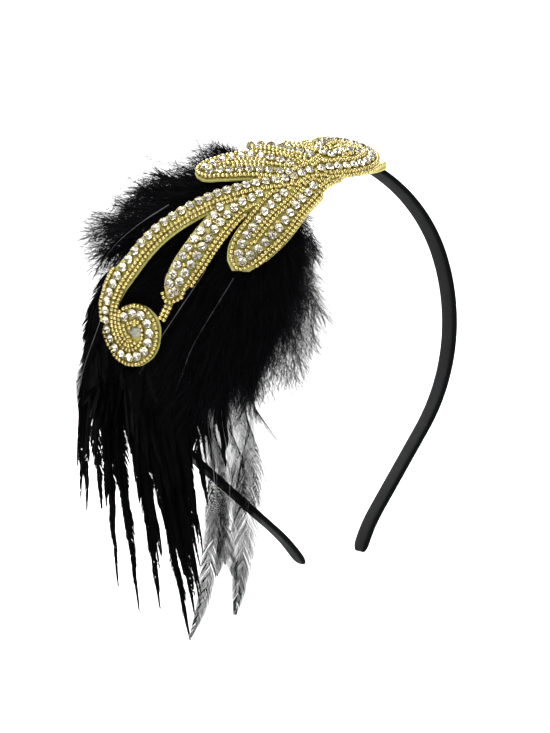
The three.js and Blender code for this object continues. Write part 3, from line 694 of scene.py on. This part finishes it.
for name, line in bead_rows.items():
    build(f"seed_beads_{name}", *string_of_beads(line, 1.6), gold_glass, True, "gold_beads", [f"beads_{name}"])

# %% [markdown]
# The rest of each leaf is filled with more strings, which are sewn last and stop short where there is no room.

# %% Beads in the middles
fillers = [  # line, distance to its right, share where the string starts and ends
    (stone_rows["front_leaf"], -SECOND, 0.0, 0.52),
    (stone_rows["scroll"], -SECOND, 0.08, 0.58),
    (stone_rows["crown_curl"], SECOND, 0.0, 0.3),
    (stone_rows["top_leaf"], -SECOND, 0.0, 1.0),
    (stone_rows["scroll"], -BESIDE, 0.6, 1.0),
    (stone_rows["scroll"], -SECOND, 0.54, 1.0),
    (stone_rows["scroll"], -SECOND - ROW_PITCH, 0.64, 0.9),
    (stone_rows["scroll"], -SECOND - 2 * ROW_PITCH, 0.64, 0.9),
    (stone_rows["centre_leaf"], -SECOND, 0.1, 0.5),
    (middle["crown_edge"], 0, 0.0, 1.0),
    (middle["crown_edge"], -0.9, 0.3, 0.9),
    (middle["leaf_tip"], -0.7, 0.0, 1.0),
    (middle["leaf_tip"], 0.7, 0.0, 1.0),
]
middles = [  # line down the middle, strings on each side of it
    ("front_leaf", 1), ("centre_leaf", 1), ("upper_leaf", 2), ("hub", 3), ("crest", 2), ("front_tip", 1),
    ("throat", 1),
]
more = []
for line, shift, start, end in fillers:
    more.append(string_of_beads(beside(line, shift, BEAD_LIFT - 0.15, start, end), 1.9, 1.15, 2.6))
for name, rows in middles:
    for offset in sorted(range(-rows, rows + 1), key=abs):
        line = beside(middle[name], offset * ROW_PITCH, BEAD_LIFT - 0.1, 0.0, 1.0)
        more.append(string_of_beads(line, 1.95, 1.2))
crown_edge = Line(CROWN + CROWN[:1]).at(np.linspace(0, 1, 40))
for share in (0.75, 0.55, 0.35, 0.15):
    ring = CROWN_CENTRE + (crown_edge - CROWN_CENTRE) * share
    more.append(string_of_beads(Line(drape(*ring.T, BEAD_LIFT - 0.1)[0]), 1.95, 1.2))
build("seed_beads_more", *gather(more), gold_glass, True, "gold_beads")

# %% [markdown]
# The cloth is cut by hand, so a few of its threads have come loose at the outer corner of the crown.


# %% Loose threads
def ribbons(paths, width, face):
    """Paths of points as narrow ribbons, with a width and a facing direction at each point."""
    along = np.gradient(paths, axis=1)
    side = np.cross(along, face)
    side /= np.maximum(np.linalg.norm(side, axis=-1, keepdims=True), 1e-9)
    edge = side * width[..., None] / 2
    points = np.stack([paths - edge, paths + edge], 2).reshape(-1, 3)
    count, steps = paths.shape[:2]
    n, s = np.meshgrid(np.arange(count), np.arange(steps - 1), indexing="ij")
    a = (n * steps + s) * 2
    return points, [np.stack([a, a + 1, a + 3, a + 2], -1).reshape(-1, 4)]


t = np.linspace(0, 1, 6)[None, :, None]
corner = drape(*np.array([(48.6, 33.6), (49, 34), (49.2, 35), (50, 37), (48, 33.4)]).T, GAP + CLOTH / 2)[0]
way = np.array([3.0, -1.0, 1.6]) + rng.normal(0, 0.9, (len(corner), 3))
thread_paths = corner[:, None] + way[:, None] * t + rng.normal(0, 0.5, (len(corner), 1, 3)) * t**2
thread_width = np.full((len(corner), 6), 0.16)
threads = ribbons(thread_paths, thread_width, np.array([0.3, -1, 0.1]))
build("loose_threads", *threads, cloth, False, "backing_cloth")

# %% [markdown]
# ## Felt pad
# A patch of felt between the band and the cloth carries the quills. It is a lens of the dome, thinned where the
# band passes under it.

# %% Felt
outline = np.array([
    (-24, 37), (-6, 32), (12, 33), (30, 36), (40, 44), (42, 54), (30, 59), (12, 62), (-10, 60), (-30, 54),
    (-36, 45), (-24, 37),
])
rim_line = Line(outline).at(np.linspace(0, 1, 73)[:-1])
centre = np.array([4, 47])
shares = np.array([0.02, 0.25, 0.5, 0.75, 0.93, 1.0])
top_lift = np.array([0, 0, 0, 0, 0, -0.5]) + GAP / 2 - 0.15
walked = [band_at(distance) for distance in np.arange(0, 60, 1.0)]
band_top = np.array([place + outward * BAND_THICK for place, outward in walked])
loops = []
for share, lift in zip(shares, top_lift):
    loops.append(drape(*(centre + (rim_line - centre) * share).T, lift)[0])
for share in shares[::-1]:
    low = drape(*(centre + (rim_line - centre) * share).T, -2.4)[0]
    high = drape(*(centre + (rim_line - centre) * share).T, 0)[0]
    near = np.abs(low[:, 1]) < BAND_WIDTH / 2 + 1
    over = np.interp(np.abs(low[:, 0]), band_top[:, 0], band_top[:, 2]) + 0.3
    low[near, 2] = np.minimum(np.maximum(low[near, 2], over[near]), high[near, 2] - 0.1)
    loops.append(low)
pad = build("felt_pad", np.vstack(loops), tube_faces(len(loops), 72), felt, True, "marabou")

# %% [markdown]
# ## Marabou
# Marabou is down: a soft quill from which long barbs stand off all round, each fringed with finer barbules.
# Here each quill follows one of the CAD locks or runs between two of them, and carries hundreds of barbs as
# narrow ribbons. A barb starts at a wide angle and leans towards the quill's tip and downwards.


# %% Where the down may lie
NEAR_MOTIF = 7.0  # a barb this near a row of stones or beads has the cloth over it
UNDER_CLOTH = 0.985  # share of the dome's size at which the feathers lie under the cloth


def under_motif(x, z, depth):
    high = z + DROP
    reach = np.hypot(x / np.where(x < 0, LEFT, RIGHT), high / np.where(high < 0, DOWN, UP))
    y = BACK - DEEP * np.sqrt(np.maximum(0.02, 1 - reach**2))
    wide, tall = np.where(x < 0, LEFT, RIGHT), np.where(high < 0, DOWN, UP)
    normal = np.stack([x / wide**2, (y - BACK) / DEEP**2, high / tall**2], -1)
    normal /= np.linalg.norm(normal, axis=-1, keepdims=True)
    return np.stack([x, y, z], -1) - normal * depth


DOME = np.array([0, BACK, -DROP])
motif_lines = [*stone_rows.values(), *middle.values()]
motif_points = np.vstack([row.at(np.linspace(0, 1, 60)) for row in motif_lines])


def keep_under(points):
    """Points near the motif are pushed below its cloth."""
    flat = points.reshape(-1, 3)
    wide, tall = np.where(flat[:, 0] < 0, LEFT, RIGHT), np.where(flat[:, 2] < -DROP, DOWN, UP)
    size = np.linalg.norm((flat - DOME) / np.stack([wide, np.full(len(flat), DEEP), tall], -1), axis=1)
    shell = np.flatnonzero((size > UNDER_CLOTH) & (flat[:, 1] < BACK))
    near = np.zeros(len(shell), bool)
    for start in range(0, len(shell), 20000):
        part = flat[shell[start : start + 20000]]
        gap2 = ((part[:, None] - motif_points[None]) ** 2).sum(-1).min(1)
        near[start : start + 20000] = gap2 < NEAR_MOTIF**2
    shell = shell[near]
    flat[shell] = DOME + (flat[shell] - DOME) * (UNDER_CLOTH / size[shell])[:, None]
    return flat.reshape(points.shape)


# %% [markdown]
# Two sets of quills carry the down: full ones inside and soft ones at the edges. The same quills are used for a
# dense inner layer, a finer outer layer and a few long hairs, each with its own spread.

# %% Quills and barbs
QUILLS = [  # way point, tip and length of barb of each quill, in the XZ plane
    (-8, 1, -14, 7, 8), (-12, 0, -22, 6, 8), (-16, -2, -31, 4, 9), (-24, -4, -42, 1, 9),
    (-32, -6, -52, -3, 10),
    (-20, -7, -40, -6, 10), (-34, -9, -58, -9, 10), (-40, -14, -64, -15, 10), (-46, -20, -69, -25, 10),
    (-52, -28, -71, -38, 9), (-58, -34, -72, -52, 8), (-60, -40, -70, -64, 7), (-28, -12, -48, -14, 11),
    (-38, -20, -60, -24, 11), (-44, -30, -64, -40, 11), (-48, -38, -64, -56, 11), (-40, -44, -56, -72, 11),
    (-34, -46, -50, -70, 12), (-30, -48, -46, -76, 12), (-26, -52, -38, -84, 12), (-20, -54, -29, -82, 10),
    (-20, -46, -30, -72, 11), (-16, -50, -22, -70, 9), (-12, -44, -17, -60, 9), (-8, -36, -12, -50, 8),
    (-4, -28, -5, -40, 8), (-7, -28, -8, -45, 8), (-14, -40, -18, -58, 10), (-16, -22, -30, -42, 11),
    (-22, -30, -38, -52, 12), (-36, -38, -50, -60, 12), (-22, -50, -34, -76, 12), (-30, -24, -56, -38, 11),
    (-33, -33, -58, -52, 12), (-25, -38, -42, -62, 12), (-8, -18, -5, -34, 8), (-55, -32, -68, -46, 9),
    (-44, -26, -66, -34, 9), (-44, -34, -57, -60, 10), (-50, -34, -64, -56, 10),
    (-11, 2, -19, 8, 8), (-17, 1, -28, 6, 9),
]
WISPS = [  # soft quills at the fluff's edges, with long fine barbs only
    (-10, -40, -8, -60, 13), (-12, -44, -12, -72, 12), (-6, -34, -4, -54, 12), (-14, -48, -17, -80, 11),
    (-50, -20, -70, -22, 11), (-54, -28, -74, -34, 11), (-30, -4, -52, 0, 10), (-20, 0, -40, 4, 10),
    (-58, -36, -75, -50, 10), (-44, -12, -64, -8, 11), (-8, -38, -2, -57, 12), (-10, -42, -6, -66, 12),
    (-12, -46, -11, -77, 11),
]


def bend_back(points):
    """Barbs that stand out furthest, to the front, the back or the top, curve over instead of reaching on."""
    for axis, way, level, beyond in ((1, -1, 31, 10), (1, 1, 8, 9), (2, 1, 5, 12)):
        past = np.maximum(points[..., axis] * way - level, 0)
        points[..., axis] += way * (beyond * np.tanh(past / beyond) - past)
    return points


def fluff(name, quills, each, depth, spread, shorter, width):
    """Quills under the motif, and their barbs as ribbons."""
    starts, turns, reach = [], [], []
    for way_x, way_z, tip_x, tip_z, barb in quills:
        flat = Line([(-9 + way_x / 8, -11), (way_x, way_z), (tip_x, tip_z)]).at(np.linspace(0, 1, 14))
        flat = flat + rng.normal(0, spread, 2) * np.linspace(0, 1, 14)[:, None]
        line = Line(under_motif(flat[:, 0], flat[:, 1], rng.uniform(*depth)), 6)
        share = rng.beta(1.6, 1.0, int(each * line.length / 60)) * 0.97
        starts.append(line.at(share))
        turns.append(line.along(share))
        reach.append(np.full(len(share), barb * shorter))
    start, quill_way, reach = np.vstack(starts), np.vstack(turns), np.concatenate(reach)
    count = len(start)
    radial = rng.normal(0, 1, (count, 3))
    radial -= (radial * quill_way).sum(1, keepdims=True) * quill_way
    radial /= np.linalg.norm(radial, axis=1, keepdims=True)
    angle = np.radians(rng.uniform(22, 80, count))[:, None]
    way = np.cos(angle) * quill_way + np.sin(angle) * radial
    long = (reach * rng.triangular(0.4, 0.8, 1.45, count))[:, None, None]
    t = np.linspace(0, 1, 5)[None, :, None]
    sag = quill_way * 0.4 + np.array([0, 0, -0.2]) + rng.normal(0, 0.18, (count, 3))
    paths = start[:, None] + long * (way[:, None] * t + sag[:, None] * t**2)
    paths[:, 1:] += rng.normal(0, 0.35, (count, 4, 3)) * t[:, 1:]
    paths = keep_under(bend_back(paths))
    wide = rng.uniform(*width, count)[:, None] * np.array([1, 0.85, 0.6, 0.35, 0.12])[None]
    face = rng.normal(0, 1, (count, 1, 3))
    return build(name, *ribbons(paths, wide, face), down, False, "marabou", ["marabou_plume"])


fluff("marabou_inner", QUILLS, 620, (3.5, 8), 1.0, 0.8, (0.3, 0.5))
fluff("marabou_outer", QUILLS + QUILLS, 310, (2.0, 6), 3.0, 1.0, (0.1, 0.2))
fluff("marabou_hairs", QUILLS + WISPS + WISPS, 350, (1.5, 6), 3.5, 1.25, (0.06, 0.12))

print("quills:", len(QUILLS), "and", len(WISPS), "wispy ones")

# %% [markdown]
# ## Hackles
# A rooster's hackle is long and narrow. From its shaft barbs run out at a slant on both sides, close together at
# first and looser near the tip. Most hang in a dense bundle, and a few to the right lie single, so that light
# comes through them and their shafts show.


# %% Hackle feathers
def vane(line, half, facing, spacing, thin_out, slant, barb, first=0.08, loose=1.0):
    """Barbs on both sides of a shaft, as paths with widths and facings. They bend until they lie along it."""
    count = int(line.length * (1 - first) / spacing)
    share = np.repeat(np.linspace(first, 0.995, count), 2)
    sign = np.tile([-1.0, 1.0], count)
    keep = rng.random(2 * count) > thin_out
    share, sign = share[keep], sign[keep]
    way = line.along(share)
    side = np.cross(way, facing)
    side /= np.linalg.norm(side, axis=1, keepdims=True)
    swell = np.interp(share, [0, 0.12, 0.35, 0.65, 0.88, 1], [0.5, 0.85, 1, 0.85, 0.4, 0.06])
    parted = np.clip(rng.normal(0, loose, 80), -1.5, 1.5)
    clump = np.interp(share * line.length, np.arange(0, 400, 5.0), parted) * sign
    varied = rng.uniform(0.9, 1.05, len(share))
    long = half * swell * (1 + 0.1 * clump) * varied / math.sin(math.radians(slant)) * 0.8
    angle = np.radians(slant + 4 * clump + rng.normal(0, 1.5 * loose, len(share)))
    t = np.linspace(0, 1, 4)[None, :, None]
    out = (np.sin(angle) * sign)[:, None] * side
    ahead = np.cos(angle)[:, None] * way
    bow = (0.35 * (way - out) - 0.35 * ahead)[:, None]
    path = line.at(share)[:, None] + long[:, None, None] * (t * (out * 1.35 + ahead)[:, None] + t**2 * bow)
    path += long[:, None, None] * t**2 * rng.normal(0, 0.03 * loose, (len(share), 1, 3))
    taper = np.array([[1, 0.95, 0.8, 0.4]])
    width = barb * (0.8 + 0.6 * share)[:, None] * rng.uniform(0.8, 1.2, (len(share), 1)) * taper
    return path, width, np.broadcast_to(facing, (len(share), 1, 3))


def shaft(line, thick):
    share = np.linspace(0, 1, 22)
    place, way = line.at(share), line.along(share)
    side = np.cross(way, [0, 1, 0])
    side /= np.linalg.norm(side, axis=1, keepdims=True)
    front = np.cross(side, way)
    radius = (thick / 2 * (1 - 0.9 * share))[:, None, None]
    a = (2 * math.pi * np.arange(5) / 5)[None, :, None]
    points = place[:, None] + radius * (np.cos(a) * side[:, None] + np.sin(a) * front[:, None])
    return points.reshape(-1, 3), tube_faces(len(share), 5)


# %% [markdown]
# Most hackles hang in a bundle. Each place in it is shared by a few feathers whose tips and bows differ a little.
# Those at the far left pass behind the scroll's curl, and the rest come out from under the fluff.

# %% The bundle
ROOT = np.array([-28.0, -34.0])
BUNDLE = [  # tips of the dense hackles, and how many share each place
    (-84, -94, 2), (-85, -109, 2), (-80, -109, 2), (-77, -117, 2), (-78, -136, 2), (-72, -122, 2),
    (-73, -104, 3),
    (-78, -84, 5), (-72, -87, 7), (-75, -93, 4), (-67, -93, 6), (-62, -101, 7), (-64, -112, 6),
    (-65, -146, 4),
    (-62, -128, 6), (-57, -158, 4), (-54, -150, 4), (-56, -136, 6), (-50, -134, 6), (-48, -118, 7),
    (-57, -112, 8), (-52, -108, 6),
    (-40, -104, 6), (-34, -96, 5),
]


def hanging(tip, depth, lean):
    """A line that leaves the bound quills sideways and then hangs down to its tip."""
    run = tip - ROOT
    splay = 0.75 if tip[0] < -52 else 0.62
    out = ROOT + run * [splay, 0.3] + lean
    fall = ROOT + run * [splay / 4 + 0.78, 0.64] + lean / 2
    flat = np.array([ROOT + [3, 6], out, fall, tip])
    behind = under_motif(flat[:, 0], flat[:, 1], 5.0)[:, 1]
    y = [min(depth, 0), max(behind[1], depth) - 0.5, (max(behind[2], depth) + depth) / 2, depth]
    return Line(np.stack([flat[:, 0], y, flat[:, 1]], -1))


def outside(tip, lean):
    """A line down the far side of the scroll, behind its curl."""
    inward = np.clip((tip[0] + 88) / 28, 0, 1)
    flat = np.array([(-56 + 11 * inward, -22), (-69 + 15 * inward, -42), (-77 + 18 * inward, -66), tip])
    flat[1:3] += lean * 0.7
    return Line(np.stack([flat[:, 0], [-4.0, 4.0, 2.0, rng.uniform(-7, -4)], flat[:, 1]], -1))


dense, shafts = [], []
for tip_x, tip_z, copies in BUNDLE:
    for copy in range(copies):
        tip = np.array([tip_x, tip_z]) + (rng.normal(0, 2.4, 2) if copy else 0)
        tip[1] += abs(rng.normal(0, 10)) if copy else 0
        lean = rng.normal(0, 1.8, 2)
        if tip_x < -60:
            line = outside(tip, lean)
        else:
            line = hanging(tip, -7.0 + rng.uniform(-1.6, 1.2), lean)
        facing = np.array([rng.normal(-0.35, 0.3), -1, rng.normal(0, 0.15)])
        dense.append(vane(line, rng.uniform(1.8, 3.0), facing, 0.54, 0.05, rng.uniform(14, 20), 0.3, 0.15))
        shafts.append(shaft(line, 0.4))
half_of_them = len(dense) // 2
for side_name, some in (("left", dense[:half_of_them]), ("right", dense[half_of_them:])):
    path, width, face = (np.concatenate(part) for part in zip(*some))
    build(f"hackle_vanes_{side_name}", *ribbons(path, width, face), glossy, False, "hackle", ["hackle_plume"])
build("hackle_shafts", *gather(shafts), glossy, True, "hackle", ["hackle_plume"])

# %% [markdown]
# Feathers that lie alone are see-through: their barbs are fine and evenly spaced, so light passes between them.
# A few thin ones lie over the fluff, where only their shafts catch the light; their shafts and those of the lone
# feathers are painted light grey as a painted highlight.

# %% Single feathers
SINGLE = [  # half width, width of a barb, depth and points of the feathers that hang alone, from root to tip
    (7.2, 0.085, -8, [(-22, -60), (-28.8, -79.3), (-29.1, -98), (-30.6, -115), (-34.4, -133),
    (-40.3, -152.5)]),
    (5.6, 0.085, -8.5, [(-32, -64), (-40.2, -86), (-39.6, -103), (-44.2, -126), (-50.7, -145),
    (-57, -156.9)]),
    (9.5, 0.07, -9, [(-18, -58), (-26, -76.3), (-24.9, -90.2), (-26.3, -102), (-31, -118.9)]),
    (6.4, 0.07, -9.5, [(-30, -62), (-39.1, -87.8), (-41.2, -106), (-41.6, -123), (-38.5, -140.7)]),
    (6.4, 0.07, -8.8, [(-28, -62), (-35, -84), (-35, -98), (-36, -110), (-39, -124), (-45, -138)]),
    (2.4, 0.12, 2, [(-62, -36), (-70.6, -50.9), (-78.5, -66.6), (-79.8, -77.4), (-84.2, -94.9)]),
]
OVER = [  # half width and points of the thin ones that lie over the fluff
    (0.8, [(-30, -40), (-38.9, -51.7), (-45.3, -61.5), (-50.1, -74.2)]),
    (0.9, [(-44, -14), (-54, -19), (-62, -25), (-68.7, -34.5)]),
    (1.2, [(-38, -36), (-49, -50), (-58, -64), (-63, -80)]),
]
thin, lone_shafts = [], []
for half, barb, depth, points in SINGLE:
    line = Line([(x, depth, z) for x, z in points])
    thin.append(vane(line, half, np.array([-0.3, -1, 0.05]), 0.25, 0.02, 24, barb, 0.02, 0.12))
    lone_shafts.append(shaft(line, 0.3))
for half, points in OVER:
    flat = Line(points).at(np.linspace(0, 1, 8))
    line = Line(under_motif(flat[:, 0], flat[:, 1], -1.2))
    thin.append(vane(line, half, np.array([-0.3, -1, 0.3]), 0.4, 0.1, 18, 0.15, 0.05))
    lone_shafts.append(shaft(line, 0.32))
path, width, face = (np.concatenate(part) for part in zip(*thin))
build("hackle_vanes_single", *ribbons(path, width, face), glossy, False, "hackle", ["hackle_plume"])
# the lone shafts get the light grey shaft material, a painted highlight
build("lone_shafts", *gather(lone_shafts), quill, True, "hackle", ["hackle_plume"])

# %% [markdown]
# ## Room, light and camera
# A pale sweep and broad soft lights, as in a catalogue. The world is dimmer behind the camera, so that black satin
# and feathers don't turn grey, and the third lamp whitens the sweep behind the piece.

# %% Floor, world, lights
paper, tree, shader = material("matt white paper sweep", Roughness=0.9)
shader.inputs["Base Color"].default_value = linear("#fbfbfb")
floor_z, deep_y = -172.0, 2000.0
profile = [(-2600.0, floor_z), (deep_y - 500, floor_z)]
for a in np.radians(np.arange(5, 91, 5)):
    profile.append((deep_y - 500 + 500 * math.sin(a), floor_z + 500 - 500 * math.cos(a)))
profile.append((deep_y, 2600.0))
sweep_points = np.array([(x, y, z) for y, z in profile for x in (-3000.0, 3000.0)])
steps = np.arange(len(profile) - 1) * 2
sweep_faces = np.stack([steps, steps + 1, steps + 3, steps + 2], -1)
mesh = bpy.data.meshes.new("paper_sweep")
mesh.from_pydata((sweep_points * MM).tolist(), [], sweep_faces.tolist())
mesh.materials.append(paper)
sweep = bpy.data.objects.new("paper_sweep", mesh)
bpy.context.scene.collection.objects.link(sweep)

world = bpy.data.worlds.new("soft room, dimmer behind the camera")
bpy.context.scene.world = world
world.use_nodes = True
backdrop = world.node_tree.nodes["Background"]
direction = add(world.node_tree, "ShaderNodeTexCoord").outputs["Generated"]
parts = add(world.node_tree, "ShaderNodeSeparateXYZ", {"Vector": direction})
dimming = {"Value": parts.outputs["Y"], "From Min": -1.0, "From Max": 0.6, "To Min": 0.12, "To Max": 0.9}
level = add(world.node_tree, "ShaderNodeMapRange", dimming)
world.node_tree.links.new(level.outputs["Result"], backdrop.inputs["Strength"])
backdrop.inputs["Color"].default_value = (1, 1, 1, 1)


def area_light(name, place, aim, size, power):
    lamp = bpy.data.lights.new(name, "AREA")
    lamp.shape, lamp.size, lamp.energy = "DISK", size, power
    obj = bpy.data.objects.new(name, lamp)
    obj.location = place
    obj.rotation_euler = (Vector(aim) - Vector(place)).to_track_quat("-Z", "Y").to_euler()
    bpy.context.scene.collection.objects.link(obj)


area_light("key from upper left", (-0.55, -0.75, 0.6), (0, 0, -0.05), 0.35, 11)
area_light("fill from the right", (0.8, -0.5, 0.25), (0, 0, -0.05), 0.5, 5)
area_light("sweep light", (0.0, 1.0, 1.6), (0, 2.0, 0.0), 1.6, 90)

print("lamps: 3, world:", world.name)

# %% [markdown]
# The camera's place, direction and lens come from fitting the band's outline to the photograph. Its focal length
# was found in the photograph's pixels, and its small roll is that of a hand-held piece.

# %% Camera
PHOTO_WIDTH, FOCAL_PIXELS, SENSOR = 550, 1896.47, 36.0
azimuth, elevation, roll = (math.radians(a) for a in (20.46, 3.2, -8.08))
level_way = np.array([-math.sin(azimuth), -math.cos(azimuth), 0.0])
toward = level_way * math.cos(elevation) + np.array([0.0, 0.0, math.sin(elevation)])
right = np.array([math.cos(azimuth), -math.sin(azimuth), 0.0])
upward = np.cross(toward, right)
right, upward = (
    right * math.cos(roll) + upward * math.sin(roll),
    upward * math.cos(roll) - right * math.sin(roll),
)
eye = np.array([-238.1, -610.0, -36.0])
camera = bpy.data.objects.new("camera", bpy.data.cameras.new("camera"))
bpy.context.scene.collection.objects.link(camera)
aim = Matrix(np.stack([right, upward, toward], 1).tolist()).to_4x4()
camera.matrix_world = Matrix.Translation(Vector(eye * MM)) @ aim
camera.data.sensor_fit = "HORIZONTAL"
camera.data.sensor_width = SENSOR
camera.data.lens = SENSOR * FOCAL_PIXELS / PHOTO_WIDTH
camera.data.clip_end = 20
bpy.context.scene.camera = camera
bpy.context.scene.view_settings.view_transform = "Standard"
print("camera at", eye, "mm, looking along", -toward)
